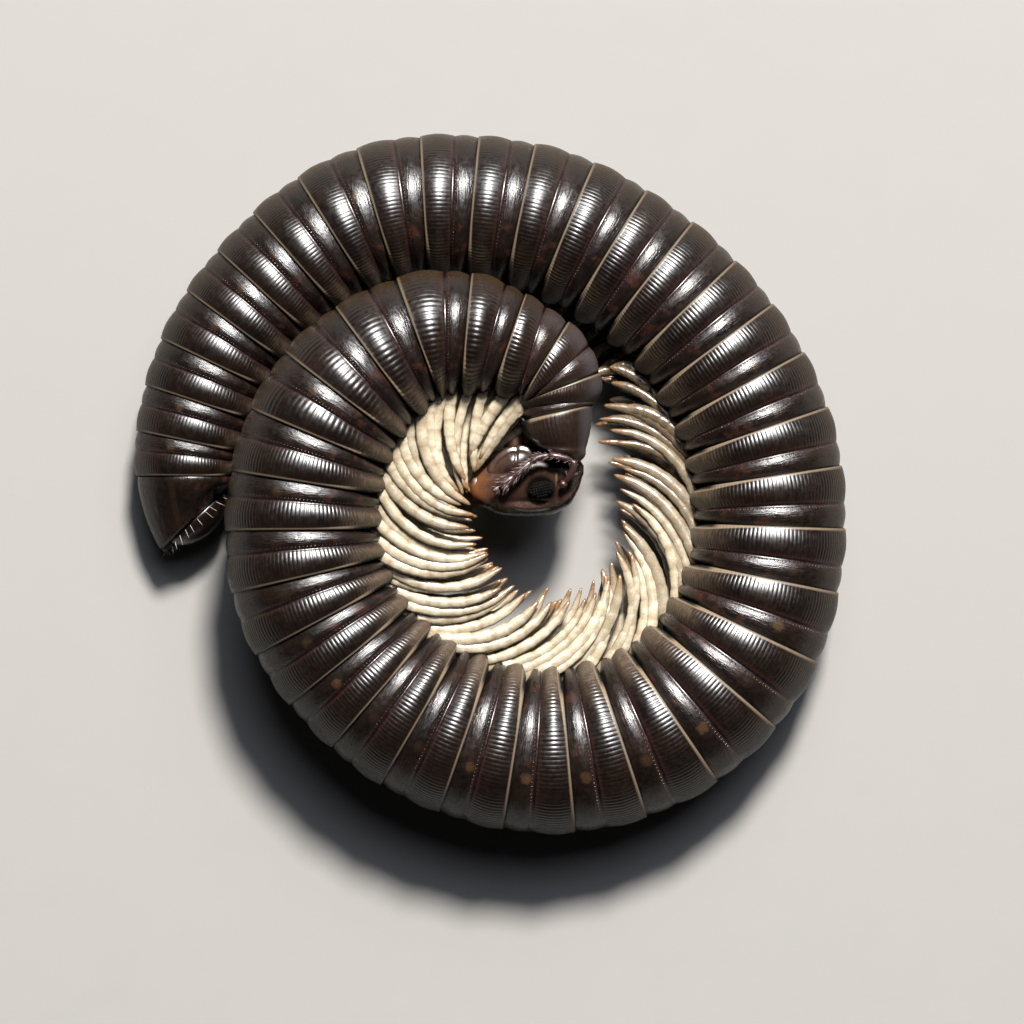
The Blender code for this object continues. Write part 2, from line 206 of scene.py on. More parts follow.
def alongPath(path, share):
    # a point on the smooth curve through a few points, by its share of their chord length
    steps = [(b - a).length for a, b in zip(path, path[1:])]
    left = share * sum(steps)
    number = 0
    while number < len(steps) - 1 and left > steps[number]:
        left -= steps[number]
        number += 1
    before = path[number - 1] if number else path[0] * 2 - path[1]
    after = path[number + 2] if number + 2 < len(path) else path[-1] * 2 - path[-2]
    return Vector(curvePoint(before, path[number], path[number + 1], after, left / steps[number]))


def pathFrame(path, share, reach):
    # place and ways on a curve, looking that far ahead and back
    way = alongPath(path, min(share + reach, 1.0)) - alongPath(path, max(share - reach, 0.0))
    way.normalize()
    return (alongPath(path, share), way, *across(way))


def around(beside, above, turn):
    return beside * math.cos(turn) + above * math.sin(turn)


def newBall(segments, rings):
    bm = bmesh.new()
    bmesh.ops.create_uvsphere(bm, u_segments=segments, v_segments=rings, radius=1.0)
    return bm


def limit(value, low=0.0, high=1.0):
    return max(low, min(high, value))


def randomly(size):
    return luck.uniform(-size, size)


def joinInto(whole, part):
    mesh = bpy.data.meshes.new("part")
    part.to_mesh(mesh)
    part.free()
    whole.from_mesh(mesh)
    bpy.data.meshes.remove(mesh)


def finishPiece(name, bm, material, nodes=()):
    bmesh.ops.recalc_face_normals(bm, faces=bm.faces)
    bmesh.ops.translate(bm, vec=coilShift, verts=bm.verts)
    bmesh.ops.scale(bm, vec=(mm, mm, mm), verts=bm.verts)
    for face in bm.faces:
        face.smooth = True
    mesh = bpy.data.meshes.new(name)
    bm.to_mesh(mesh)
    bm.free()
    mesh.materials.append(material)
    piece = bpy.data.objects.new(name, mesh)
    bpy.context.scene.collection.objects.link(piece)
    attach(piece, "root")
    if nodes:
        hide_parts(*nodes)
    print(name, "has", len(mesh.polygons), "faces")


# material helpers

class Nodes:
    # a material built from its look: noises, the piece's own layers, distances from a value of one
    # of them, a first ramp of colours, tints over it, bumps, roughness and other sockets
    def __init__(self, name, look):
        self.material = bpy.data.materials.new(name)
        self.material.use_nodes = True
        self.tree = self.material.node_tree
        self.look = look
        place = self.add("ShaderNodeTexCoord", {}).outputs["Object"]
        self.values = {key: self.noise(place, *sizes) for key, sizes in look["noises"].items()}
        for layer in look.get("layers", ()):
            self.values[layer] = self.add("ShaderNodeAttribute", {}, attribute_name=layer).outputs["Fac"]
        for key, (value, middle) in look.get("offs", {}).items():
            self.values[key] = self.off(self.values[value], middle)
        if "wavering" in look:
            value, size = look["wavering"]
            self.values["wavering"] = self.plus(self.values[value], self.spread("cloud", -size, size))
        guide = look.get("guide", "wavering" if "wavering" in look else "cloud")
        self.colour = self.ramp(self.values[guide], look["base"])
        for tint in look.get("tints", ()):
            self.tint(*tint)

    def add(self, kind, inputs, **settings):
        node = self.tree.nodes.new(kind)
        for key, value in settings.items():
            setattr(node, key, value)
        for key, value in inputs.items():
            self.feed(node.inputs[key], value)
        return node

    def feed(self, socket, value):
        if isinstance(value, bpy.types.NodeSocket):
            self.tree.links.new(value, socket)
        elif socket.type == "RGBA" and len(value) == 3:
            socket.default_value = (*value, 1.0)
        else:
            socket.default_value = value

    def maths(self, operation, a, b=0.5):
        return self.add("ShaderNodeMath", {0: a, 1: b}, operation=operation).outputs[0]

    def times(self, a, b):
        return self.maths("MULTIPLY", a, b)

    def plus(self, a, b):
        return self.maths("ADD", a, b)

    def off(self, value, middle):
        return self.maths("ABSOLUTE", self.maths("SUBTRACT", value, middle))

    def vector(self, x, y, z):
        return self.add("ShaderNodeCombineXYZ", {"X": x, "Y": y, "Z": z}).outputs[0]

    def noise(self, vector, scale, detail=3.0, roughness=0.55):
        inputs = {"Vector": vector, "Scale": scale, "Detail": detail, "Roughness": roughness}
        return self.add("ShaderNodeTexNoise", inputs).outputs["Fac"]

    def smooth(self, value, low, high, start=0.0, end=1.0):
        # a soft step from start to end while value goes from low to high
        inputs = {"Value": value, "From Min": low, "From Max": high, "To Min": start, "To Max": end}
        return self.add("ShaderNodeMapRange", inputs, interpolation_type="SMOOTHSTEP").outputs[0]

    def soft(self, *steps):
        # soft steps of named values or of sockets, multiplied with each other
        share = None
        for value, *numbers in steps:
            step = self.smooth(self.values[value] if isinstance(value, str) else value, *numbers)
            share = step if share is None else self.times(share, step)
        return share

    def spread(self, name, start, end):
        # the middle part of a noise, from start to end
        return self.soft((name, 0.3, 0.7, start, end))

    def lay(self, colour, share):
        node = self.add("ShaderNodeMix", {}, data_type="RGBA")
        for number, value in ((0, share), (6, self.colour), (7, colour)):
            self.feed(node.inputs[number], value)
        self.colour = node.outputs[2]

    def tint(self, colour, *steps):
        self.lay(colour, self.soft(*steps))

    def ramp(self, value, stops):
        node = self.add("ShaderNodeValToRGB", {"Fac": value})
        elements = node.color_ramp.elements
        for element, (position, colour) in zip(elements, (stops[0], stops[-1])):
            element.position = position
            element.color = (*colour, 1.0)
        for position, colour in stops[1:-1]:
            elements.new(position).color = (*colour, 1.0)
        return node.outputs["Color"]

    def bump(self, height, distance, strength=1.0, over=None):
        inputs = {"Height": height, "Distance": distance, "Strength": strength}
        if over:
            inputs["Normal"] = over
        return self.add("ShaderNodeBump", inputs).outputs[0]

    def relief(self, over=None):
        for name, distance, strength in self.look["bumps"]:
            over = self.bump(self.values[name], distance, strength, over)
        return over

    def roughness(self):
        return self.spread(*self.look["roughness"])

    def finish(self, **sockets):
        # the sockets are named as in the shader, with the spaces left out
        sockets = {"BaseColor": self.colour, **self.look.get("sockets", {}), **sockets}
        under = ("SubsurfaceWeight", "SubsurfaceRadius", "SubsurfaceScale")
        sockets.update(zip(under, self.look.get("under", ())))
        if "Roughness" not in sockets:
            sockets["Roughness"] = self.roughness()
        if "Normal" not in sockets and "bumps" in self.look:
            sockets["Normal"] = self.relief()
        for socket in self.tree.nodes["Principled BSDF"].inputs:
            name = socket.name.replace(" ", "")
            if name in sockets:
                self.feed(socket, sockets[name])
        return self.material


# the shell rings

ringSizes = {
    "collumLength": 0.51,
    "neckLengths": (0.62, 0.73),
    "lengths": ((0, 0.88), (1, 0.96), (2, 1.07), (11, 1.02), (18, 1.30), (23, 1.04), (33, 1.06), (41, 0.86)),
    "fullRings": 41,
    "lastLength": 0.75,
}


def ringSpans():
    lengths = list(ringSizes["neckLengths"])
    lengths += [between(ringSizes["lengths"], number)[0] for number in range(ringSizes["fullRings"])]
    lengths.append(ringSizes["lastLength"])
    spans = []
    front = ringSizes["collumLength"]
    for length in lengths:
        spans.append((front, front + length))
        front += length
    return spans


spans = ringSpans()

shell = {
    "profile": (  # share of the ring, radius as a share of the half thickness, depth of the furrows
        (-0.050, 0.885, 0.0), (0.000, 0.908, 0.0), (0.030, 0.921, 0.0), (0.080, 0.938, 0.0),
        (0.140, 0.956, 0.0), (0.205, 0.967, 0.0), (0.270, 0.966, 0.0), (0.330, 0.953, 0.0),
        (0.375, 0.941, 0.0), (0.400, 0.930, 0.0), (0.422, 0.945, 0.3), (0.460, 0.958, 0.9),
        (0.520, 0.975, 1.0), (0.590, 0.991, 1.0), (0.660, 1.001, 1.0), (0.730, 1.004, 1.0),
        (0.800, 0.999, 1.0), (0.870, 0.988, 1.0), (0.920, 0.977, 0.8), (0.945, 0.971, 0.3),
        (0.972, 0.967, 0.0), (0.990, 0.950, 0.0), (0.999, 0.905, 0.0),
    ),
    "furrowDepth": ((0.30, 0.012), (0.62, 0.007)),  # from the belly third to the back
    "furrowForm": ((0.00, 1.0), (0.13, 0.32), (0.50, 0.0), (0.87, 0.32)),  # share of a furrow's pitch, depth
    "neckForm": ((0.00, 1.0), (0.22, 0.80), (0.50, 0.0), (0.78, 0.80)),
    "crowding": 0.03,  # how much closer the furrows are on the back and belly
    "neckRelief": ((3.0, 1.9), (6.5, 1.0)),  # of the profile, from the neck to the trunk
    "smoothBack": 0.50,  # how much of the profile's relief is lost on the back
    "backZone": (0.50, 0.85),  # share of the way from belly to back where it goes
    "wobble": 0.006,
    "wobbleTurns": 3,
    "wobblePhase": 40,
    "notch": 0.13,  # how deep the rings part at the belly
    "notchZone": (0.30, 0.14),  # as far from the belly, and from the ring's borders
    "neckColourTo": 3.4,  # distance from the neck up to which the rings are browner
    "groups": (  # name, first ring, ring after the last, furrows round the body, their relief, solid nodes
        ("shellNeck", 0, 8, 76, 1.7, ("trunk_01", "trunk_02")),
        ("shellLeft", 8, 16, 120, 0.9, ("trunk_03", "trunk_04")),
        ("shellBottom", 16, 24, 120, 0.9, ("trunk_05", "trunk_06")),
        ("shellRight", 24, 32, 120, 1.0, ("trunk_07", "trunk_08")),
        ("shellTop", 32, 40, 120, 0.6, ("trunk_09", "trunk_10")),
        ("shellRear", 40, 44, 110, 0.6, ("trunk_11",)),
    ),
}


def bellyShare(turn):
    # 0 at the middle of the belly, 1 at the middle of the back, the same on both sides
    return math.acos(limit(math.cos(turn), -1.0)) / math.pi


def bodyPoint(place, flattening, turn, factor, drop=0.0, lean=0.0):
    position, half, _, rear, belly, up = place
    toBelly = math.cos(turn)
    radius = half * factor - drop
    if toBelly > 0:
        radius *= 1 - flattening * toBelly ** 2
    point = position + radius * (belly * toBelly + up * math.sin(turn)) + rear * lean * radius * toBelly
    point.z = max(point.z, 0.0)
    return point


def furrowTurn(turn, furrows, forms):
    # moves a column of the tube to its place in its furrow, and gives the furrow's depth there
    columns = len(forms)
    column = round(turn / math.tau * furrows * columns)
    shift, form = forms[column % columns]
    return math.tau * (column // columns + shift) / furrows, form


def bodyTables(distance, *tables):
    return [between(table, distance)[0] for table in tables]


def shellRings(name, first, last, furrows, relief, nodes, material):
    forms = shell["furrowForm"] if first else shell["neckForm"]
    depths = {round(share, 3): depth for share, _, depth in shell["profile"]}
    straight = bpy.data.meshes.new("straightRing")
    tube = spinTube([(share, factor) for share, factor, _ in shell["profile"]], furrows * len(forms))
    tube.to_mesh(straight)
    tube.free()
    backLow, backHigh = shell["backZone"]
    notchRound, notchAlong = shell["notchZone"]
    tables = coil["bellyFlattening"], coil["neckLean"], shell["neckRelief"]

    @cache
    def placeOn(ring, share):
        front, rear = spans[ring]
        distance = front + (rear - front) * share
        return bodyFrame(distance), *bodyTables(distance, *tables)

    whole = bmesh.new()
    for ring in range(first, last):
        tone = luck.random()
        bm = bmesh.new()
        bm.from_mesh(straight)
        layers = addLayers(bm, "along", "round", "tone", "neck")
        for vert, spun, factor, share in straightPlaces(bm):
            share = round(share, 3)
            place, flattening, lean, height = placeOn(ring, share)
            spun, form = furrowTurn(spun, furrows, forms)
            turn = spun - shell["crowding"] * math.sin(2 * spun)
            belly = bellyShare(turn)
            drop = relief * between(shell["furrowDepth"], belly)[0] * depths[share] * form
            height *= 1 - shell["smoothBack"] * limit((belly - backLow) / (backHigh - backLow))
            factor = 1 - (1 - factor) * height
            atBelly = max(0.0, 1 - belly / notchRound)
            atBorder = max(0.0, 1 - min(share, 1 - share) / notchAlong)
            wave = shell["wobbleTurns"] * turn + shell["wobblePhase"] * tone
            factor += shell["wobble"] * math.sin(wave) * share
            factor -= shell["notch"] * atBelly * atBorder
            vert.co = bodyPoint(place, flattening, turn, factor, drop, lean)
            neck = max(0.0, 1 - (spans[ring][0] + share) / shell["neckColourTo"])
            paint(vert, layers, max(0.0, share), belly, tone, neck)
        joinInto(whole, bm)
    bpy.data.meshes.remove(straight)
    finishPiece(name, whole, material, nodes)


shellLook = {
    "noises": {"patches": (1100.0,), "grain": (9000.0, 2.0), "mottling": (3000.0, 4.0)},
    "layers": ("along", "round", "tone", "neck"),
    "offs": {"offSuture": ("along", 0.405), "offMiddle": ("along", 0.5)},
    "guide": "patches",
    "base": ((0.3, (0.0022, 0.0011, 0.0007)), (0.7, (0.0070, 0.0034, 0.0020))),
    "tints": (  # red-brown mottling on the smooth front half, low on the sides
        ((0.034, 0.011, 0.007), ("mottling", 0.52, 0.66), ("round", 0.12, 0.24), ("round", 0.62, 0.40),
         ("along", 0.42, 0.33, 0.0, 0.6)),
    ),
    "gland": (0.055, 0.028, 0.012),
    "glandPlace": (("along", 0.24, 0.10), ("round", 0.60, 0.026)),  # middle and half size each way
    "horn": ((0.3, (0.034, 0.022, 0.014)), (0.7, (0.070, 0.048, 0.030))),
    "olive": (0.030, 0.019, 0.009),
    "neck": (0.024, 0.012, 0.008),
    # colour of a painted sheen of reflected light on the neck rings' backs
    "milky": (0.046, 0.041, 0.044),
    # the suture's dark line, also the colour of the painted shade in the gaps between rings
    "suture": (0.002, 0.0015, 0.0015),
    "besideSuture": (0.022, 0.007, 0.005),
    "straw": ((0.25, (0.145, 0.106, 0.068)), (0.45, (0.12, 0.088, 0.057)), (0.85, (0.075, 0.053, 0.031))),
    "rimStart": 0.937,
    "rimGrowth": 0.087,
    "rimEdge": 0.035,
    "wrinkles": (("round", 22.0), ("along", 30.0), ("tone", 30.0)),  # how fine they are each way
    "wrinkleDepth": 0.000020,
    "pitsRound": 377.0,
    "pitRow": 0.045,  # between the rows
    "pitDepth": 0.000012,
    "bumps": (("grain", 0.000002, 0.5),),
    "roughness": ("grain", 0.27, 0.38),
    "under": (0.08, (1.0, 0.45, 0.22), 0.00010),
    "sockets": {"IOR": 1.58},
}


def shellMaterial(name, hornShare=1.0, rimGrowth=1.0):
    look = shellLook
    nodes = Nodes(name, look)
    values = nodes.values
    # the gland that shows through as an amber spot
    offSpot = nodes.spread("grain", -0.5, 0.5)
    for value, middle, size in look["glandPlace"]:
        off = nodes.maths("DIVIDE", nodes.off(values[value], middle), size)
        offSpot = nodes.plus(offSpot, nodes.times(off, off))
    nodes.tint(look["gland"], (offSpot, 1.4, 0.0), ("tone", 0.1, 0.9, 0.1, 0.6))
    # horn-coloured belly third of the furrowed half
    hornEdge = nodes.plus(values["round"], nodes.spread("patches", -0.03, 0.03))
    horn = nodes.soft((hornEdge, 0.36, 0.12, 0.0, hornShare), ("along", 0.42, 0.62))
    nodes.lay(nodes.ramp(values["grain"], look["horn"]), horn)
    # olive-brown on the middle of the back, browner towards the neck, with a painted bluish-grey sheen of
    # reflected light on the neck's back
    nodes.tint(look["olive"], ("round", 0.74, 0.95, 0.0, 0.6))
    nodes.tint(look["neck"], ("neck", 0.0, 0.6, 0.0, 0.35))
    milky = nodes.soft(("neck", 0.15, 0.75), ("round", 0.66, 0.84, 0.0, 0.7))
    nodes.lay(look["milky"], milky)
    # dark line of the suture with red-brown beside it
    nodes.tint(look["besideSuture"], ("offSuture", 0.10, 0.03, 0.0, 0.6))
    nodes.tint(look["suture"], ("offSuture", 0.034, 0.012))
    # straw-coloured rear border, wider towards the belly
    rimLow = look["rimStart"] - look["rimGrowth"] * rimGrowth
    rimStart = nodes.soft(("round", 0.14, 0.46, rimLow, look["rimStart"]))
    rim = nodes.soft(("along", rimStart, nodes.plus(rimStart, look["rimEdge"])))
    nodes.lay(nodes.ramp(values["round"], look["straw"]), rim)
    # painted shade, near-black, in the gaps between the rings and between their belly ends
    gapShade = nodes.maths("MAXIMUM", nodes.soft(("along", 0.985, 0.997)), nodes.soft(("along", 0.05, 0.012)))
    hollowShade = nodes.soft(("offMiddle", 0.36, 0.46), ("round", 0.27, 0.20))
    nodes.lay(look["suture"], nodes.maths("MAXIMUM", gapShade, hollowShade))
    # long fine wrinkles round the smooth half, grain everywhere
    ways = (nodes.times(values[value], fineness) for value, fineness in look["wrinkles"])
    net = nodes.times(nodes.noise(nodes.vector(*ways), 1.0, 4.0), nodes.soft(("along", 0.42, 0.32)))
    normal = nodes.bump(net, look["wrinkleDepth"], 0.8)
    # two rows of fine pits beside the suture
    dots = nodes.maths("COSINE", nodes.times(values["round"], look["pitsRound"]))
    offRow = nodes.maths("PINGPONG", nodes.plus(values["along"], 0.005), look["pitRow"])
    pits = nodes.soft((dots, 0.2, 0.9), (offRow, 0.016, 0.004), ("along", 0.28, 0.33), ("along", 0.42, 0.40))
    normal = nodes.relief(nodes.bump(pits, look["pitDepth"], 1.0, normal))
    roughness = nodes.plus(nodes.roughness(), nodes.times(nodes.maths("MAXIMUM", horn, rim), 0.14))
    roughness = nodes.plus(roughness, nodes.times(milky, 0.2))
    # duller along the middle of the back
    gloss = nodes.soft(("round", 0.66, 0.90, 0.5, 0.10))
    return nodes.finish(Roughness=roughness, Normal=normal, SpecularIORLevel=gloss)


shellFinish = shellMaterial("shellFinish")
for group in shell["groups"]:
    shellRings(*group, shellFinish)
print("shell rings done")


# collum, the first shield behind the head

collum = {
    "front": 0.0,
    "rear": 0.56,
    "profile": (  # share of the length, radius as a share of the half thickness
        (0.00, 0.30), (0.012, 0.55), (0.03, 0.70), (0.055, 0.79), (0.085, 0.842), (0.115, 0.862),
        (0.145, 0.858), (0.175, 0.848), (0.21, 0.858), (0.28, 0.905), (0.38, 0.952), (0.50, 0.988),
        (0.62, 1.004), (0.74, 1.005), (0.85, 0.998), (0.93, 0.988), (0.98, 0.970), (1.00, 0.92),
    ),
    "lift": 0.26,  # how far its front edge stays up
    "corner": 0.34,  # how much it narrows there on the back
    "reach": 0.70,  # how far its front edge comes forward on the back
    "furrows": 54,
    "furrowDepth": 0.012,
    "furrowZone": (0.40, 0.36),  # middle and half width of the furrowed band, from belly to back
    "furrowSpan": (0.20, 0.96),  # shares of the length where the furrows begin and end
    "furrowFade": (0.15, 0.10),
    "tone": 0.3,
    "alongFrom": 0.50,  # its surface is coloured like this rear part of a ring
    "alongTo": 0.99,
}


def collumPiece():
    bm = spinTube(collum["profile"], collum["furrows"] * len(shell["furrowForm"]))
    layers = addLayers(bm, "along", "round", "tone", "neck")
    middle, halfWidth = collum["furrowZone"]
    start, end = collum["furrowSpan"]
    fadeIn, fadeOut = collum["furrowFade"]
    for vert, turn, factor, share in straightPlaces(bm):
        share = max(0.0, share)
        distance = collum["front"] + (collum["rear"] - collum["front"]) * share
        turn, form = furrowTurn(turn, collum["furrows"], shell["furrowForm"])
        belly = bellyShare(turn)
        depth = collum["furrowDepth"] * limit(min((share - start) / fadeIn, (end - share) / fadeOut))
        depth *= max(0.0, 1 - abs(belly - middle) / halfWidth)
        factor *= 1 - collum["corner"] * (1 - share) ** 2 * max(0.0, (belly - 0.5) / 0.5)
        place = bodyFrame(distance)
        flattening, lean = bodyTables(distance, coil["bellyFlattening"], coil["neckLean"])
        vert.co = bodyPoint(place, flattening, turn, factor, depth * form, lean)
        vert.co -= place[3] * collum["reach"] * (1 - share) ** 1.2 * math.sin(belly * math.pi / 2)
        vert.co.z += collum["lift"] * (1 - share)
        along = collum["alongFrom"] + (collum["alongTo"] - collum["alongFrom"]) * share
        paint(vert, layers, along, belly, collum["tone"], 1.0)
    finishPiece("collumShield", bm, shellMaterial("collumFinish", 0.1, 0.1), ("collum",))


collumPiece()


# legs

legs = {
    "reach": (  # root angle on the coil, distance of the tip from the coil's middle, backward sweep
        (70, 1.48, 55), (80, 1.48, 53), (90, 1.50, 52), (104, 1.50, 50), (130, 1.45, 42), (160, 1.35, 40),
        (200, 1.75, 40), (240, 2.20, 40), (270, 2.50, 38), (300, 2.30, 32), (330, 2.10, 30), (345, 2.00, 34),
        (358, 2.15, 38), (374, 2.50, 33), (385, 2.95, 28), (398, 3.25, 18), (412, 3.45, 7),
    ),
    "spread": {1: 5, -1: -20},  # of the upper and the lower row, in degrees at the root
    "spreadJitter": 4,
    "tipHeight": 0.95,  # as a share of the height of the body's middle
    "tipJitter": 0.10,
    "tipSpread": 0.20,
    "neckDrop": 0.15,  # of the tips near the neck
    "neckDropTo": 4.0,
    "rowSweep": {1: -1.5, -1: 1.5},
    "straight": (1.0, 6.0),  # distance from the neck up to which they lie straight, and from which in an arc
    "hiddenFrom": 410,
    "hiddenReach": 1.3,
    "hiddenSweep": 10,
    "hiddenSpread": {1: -20, -1: -52},
    "hiddenTipHeights": {1: 0.78, -1: 0.34},
    "leavesAt": 0.96,
    "arch": 0.35,
    "sides": 8,
    "places": (0.22, 0.72),  # of the two pairs, as shares of a ring
    "bareRings": 2,  # at the rear
    "articles": (0.00, 0.12, 0.30, 0.48, 0.64, 0.80, 1.00),
    "article": ((0.05, 0.91), (0.35, 0.98), (0.85, 1.03)),  # share of it, width, from its knee on
    "ends": ((-0.12, 0.8), (1.0, 0.5)),  # the same for the whole leg
    "halfWidth": ((0.0, 0.136), (0.30, 0.134), (0.60, 0.122), (0.80, 0.100), (0.93, 0.066), (1.0, 0.026)),
    "flatness": 0.72,  # thickness against width
    "sizeJitter": 0.19,
    "sweepJitter": 0.19,
    "reachJitter": 0.095,
    "archJitter": 0.228,
    "fullSizeFrom": 1.6,  # half thickness of the body
    "leastSize": 0.95,
    "rowShift": 0.25,  # of the row beneath, as a share of a ring
    "toneRange": 0.45,  # how brown the brownest leg is where none is shaded
    "shade": ((20, 0.0), (25, 0.78), (28, 0.92)),  # ring number, how much painted shade browns and darkens its legs
}


def legRows():
    rows = list(legs["ends"])
    for start, end in zip(legs["articles"], legs["articles"][1:]):
        rows += [(start + (end - start) * share, width) for share, width in legs["article"]]
    return sorted(rows)


def legPath(distance, side):
    position, half, angle, rear, belly, up = bodyFrame(distance)
    hidden = angle >= legs["hiddenFrom"]
    spread = math.radians(legs["hiddenSpread" if hidden else "spread"][side] + randomly(legs["spreadJitter"]))
    lean = between(coil["neckLean"], distance)[0]
    way = belly * math.cos(spread) + up * math.sin(spread) + rear * lean
    leave = position + half * legs["leavesAt"] * way
    startAngle = math.degrees(math.atan2(leave.y, leave.x)) % 360
    startRadius = leave.to_2d().length
    if hidden:
        reach = startRadius - legs["hiddenReach"]
        sweep = legs["hiddenSweep"]
        tipHeight = legs["hiddenTipHeights"][side]
    else:
        reach, sweep = between(legs["reach"], angle)
        sweep += legs["rowSweep"][side]
        drop = legs["neckDrop"] * max(0.0, 1 - distance / legs["neckDropTo"])
        tipHeight = position.z * (legs["tipHeight"] - drop) + side * legs["tipSpread"]
    sweep *= 1 + randomly(legs["sweepJitter"])
    reach *= 1 + randomly(legs["reachJitter"])
    arch = legs["arch"] + randomly(legs["archJitter"])
    tipHeight += randomly(legs["tipJitter"])
    straightTo, arcFrom = legs["straight"]
    straight = limit((arcFrom - distance) / (arcFrom - straightTo))

    def swept(share):
        turn = math.radians(startAngle + sweep * share)
        radius = startRadius + (reach - startRadius) * share + arch * share * (1 - share)
        height = leave.z + (tipHeight - leave.z) * share
        return Vector((radius * math.cos(turn), radius * math.sin(turn), height))

    tip = swept(1.0)
    joints = [swept(share).lerp(leave.lerp(tip, share), straight) for share in legs["articles"]]

    def path(share):
        # straight articles from joint to joint
        number = sum(share > end for end in legs["articles"][1:-1])
        low, high = legs["articles"][number:number + 2]
        return joints[number] + (joints[number + 1] - joints[number]) * (share - low) / (high - low)

    size = limit(half / legs["fullSizeFrom"], legs["leastSize"]) * (1 + randomly(legs["sizeJitter"]))
    return path, size


def addLeg(whole, rows, distance, side, shade):
    path, size = legPath(distance, side)
    bm = spinTube(rows, legs["sides"])
    layers = addLayers(bm, "along", "tone", "joint")
    # random brown tone, raised towards brown by the ring's painted shade
    tone = legs["toneRange"] * luck.random() * (1 - shade) + shade

    @cache
    def frameOf(share):
        beside, above = across((path(share + 0.03) - path(share - 0.03)).normalized())
        return path(share), beside, above * legs["flatness"]

    for vert, turn, factor, share in straightPlaces(bm):
        share = round(share, 4)
        centre, beside, above = frameOf(share)
        radius = between(legs["halfWidth"], share)[0] * size * factor
        vert.co = centre + radius * around(beside, above, turn)
        atJoint = 1.0 if round(factor, 2) == legs["article"][0][1] else 0.0
        paint(vert, layers, max(0.0, share), tone, atJoint)
    joinInto(whole, bm)


def legPieces(material):
    rows = legRows()
    for name, first, last, _, _, nodes in shell["groups"]:
        whole = bmesh.new()
        for ring in range(first, min(last, len(spans) - legs["bareRings"])):
            front, rear = spans[ring]
            shade = between(legs["shade"], ring)[0]
            for share in legs["places"]:
                for side, place in ((1, share), (-1, share - legs["rowShift"])):
                    addLeg(whole, rows, front + (rear - front) * place, side, shade)
        finishPiece(name.replace("shell", "legs"), whole, material, nodes)


legLook = {
    "noises": {"cloud": (4200.0, 4.0), "grain": (15000.0, 2.0)},
    "layers": ("along", "tone", "joint"),
    "wavering": ("along", 0.06),
    "guide": "cloud",
    "base": ((0.30, (0.262, 0.212, 0.142)), (0.50, (0.345, 0.295, 0.212)), (0.68, (0.430, 0.385, 0.295))),
    "tints": (  # legs browned by their random tone and by painted shade on the shaded rings, tips, and roots
        ((0.052, 0.034, 0.018), ("tone", 0.0, 1.0, 0.0, 0.95)),
        ((0.135, 0.072, 0.030), ("wavering", 0.78, 1.0)),
        ((0.12, 0.082, 0.045), ("along", 0.12, 0.0, 0.0, 0.5)),
    ),
    "joint": (0.16, 0.105, 0.055),
    "bumps": (("cloud", 0.000014, 0.7), ("grain", 0.000008, 0.8)),
    "roughness": ("grain", 0.36, 0.14),
    "under": (0.30, (1.0, 0.7, 0.4), 0.00008),
    "sockets": {"IOR": 1.55},
}


def legMaterial():
    nodes = Nodes("legFinish", legLook)
    nodes.lay(legLook["joint"], nodes.times(nodes.values["joint"], 0.45))
    return nodes.finish()


legPieces(legMaterial())
print("legs done")


# the head

head = {
    "middle": (0.0, 0.0, 2.45),  # from which the places of its pieces are told
    "back": (1.17, 0.66),
    "sections": (  # distance from the back, drop of the middle, half height towards chin and brow, half width
        (0.00, 0.00, 0.10, 0.20),
        (0.10, -0.07, 0.34, 0.42),
        (0.28, -0.17, 0.58, 0.66),
        (0.62, -0.22, 0.74, 0.79),
        (0.95, -0.22, 0.82, 0.84),
        (1.39, -0.24, 0.82, 0.84),
        (1.83, -0.31, 0.71, 0.77),
        (2.16, -0.34, 0.54, 0.63),
        (2.44, -0.37, 0.33, 0.46),
        (2.57, -0.37, 0.18, 0.30),
        (2.62, -0.36, 0.04, 0.08),
    ),
    "rows": 72,
    "steps": 96,
    "nearEye": 0.85,  # how far from the eye its dark surround may reach
}
headMiddle = Vector(head["middle"])


def smoothBetween(table, value):
    # the smooth curve through a table's rows, at a value of the first column
    rows = [table[0], *table, table[-1]]
    for i in range(1, len(rows) - 2):
        if value <= rows[i + 1][0] or i == len(rows) - 3:
            share = (value - rows[i][0]) / (rows[i + 1][0] - rows[i][0])
            found = []
            for k in range(1, len(rows[0])):
                a, b, c, d = (row[k] for row in rows[i - 1:i + 3])
                slopeB, slopeC = (c - a) / 2, (d - b) / 2
                s2, s3 = share ** 2, share ** 3
                found.append((2 * s3 - 3 * s2 + 1) * b + (s3 - 2 * s2 + share) * slopeB
                             + (3 * s2 - 2 * s3) * c + (s3 - s2) * slopeC)
            return found


def bulge(point, centre, radii, height):
    # how far a soft round swelling lifts a point of the surface
    off = sum(((a - b) / r) ** 2 for a, b, r in zip(point, centre, radii))
    return height * max(0.0, 1 - off) ** 2


headForms = {
    "eyeSwelling": ((0.22, 0.22, 0.80), (0.42, 0.32, 0.40), 0.07),
    "browRidge": ((0.05, -0.16, 0.80), (0.66, 0.115, 0.50), 0.125),
    "strut": ((0.56, 0.42, 0.80), (0.055, 0.27, 0.30), 0.10),
    "browGroove": ((0.05, -0.04, 0.84), (0.60, 0.07, 0.50), -0.05),
    "templeGroove": ((0.62, 0.05, 0.80), (0.06, 0.40, 0.60), -0.05),
    "clypeus": ((-1.05, 0.02, 0.40), (0.40, 0.30, 0.60), 0.06),
    "clypeusGroove": ((-0.78, 0.12, 0.60), (0.06, 0.40, 0.70), -0.035),
    "socket": ((0.66, 0.30, 0.75), (0.20, 0.18, 0.40), -0.10),
}


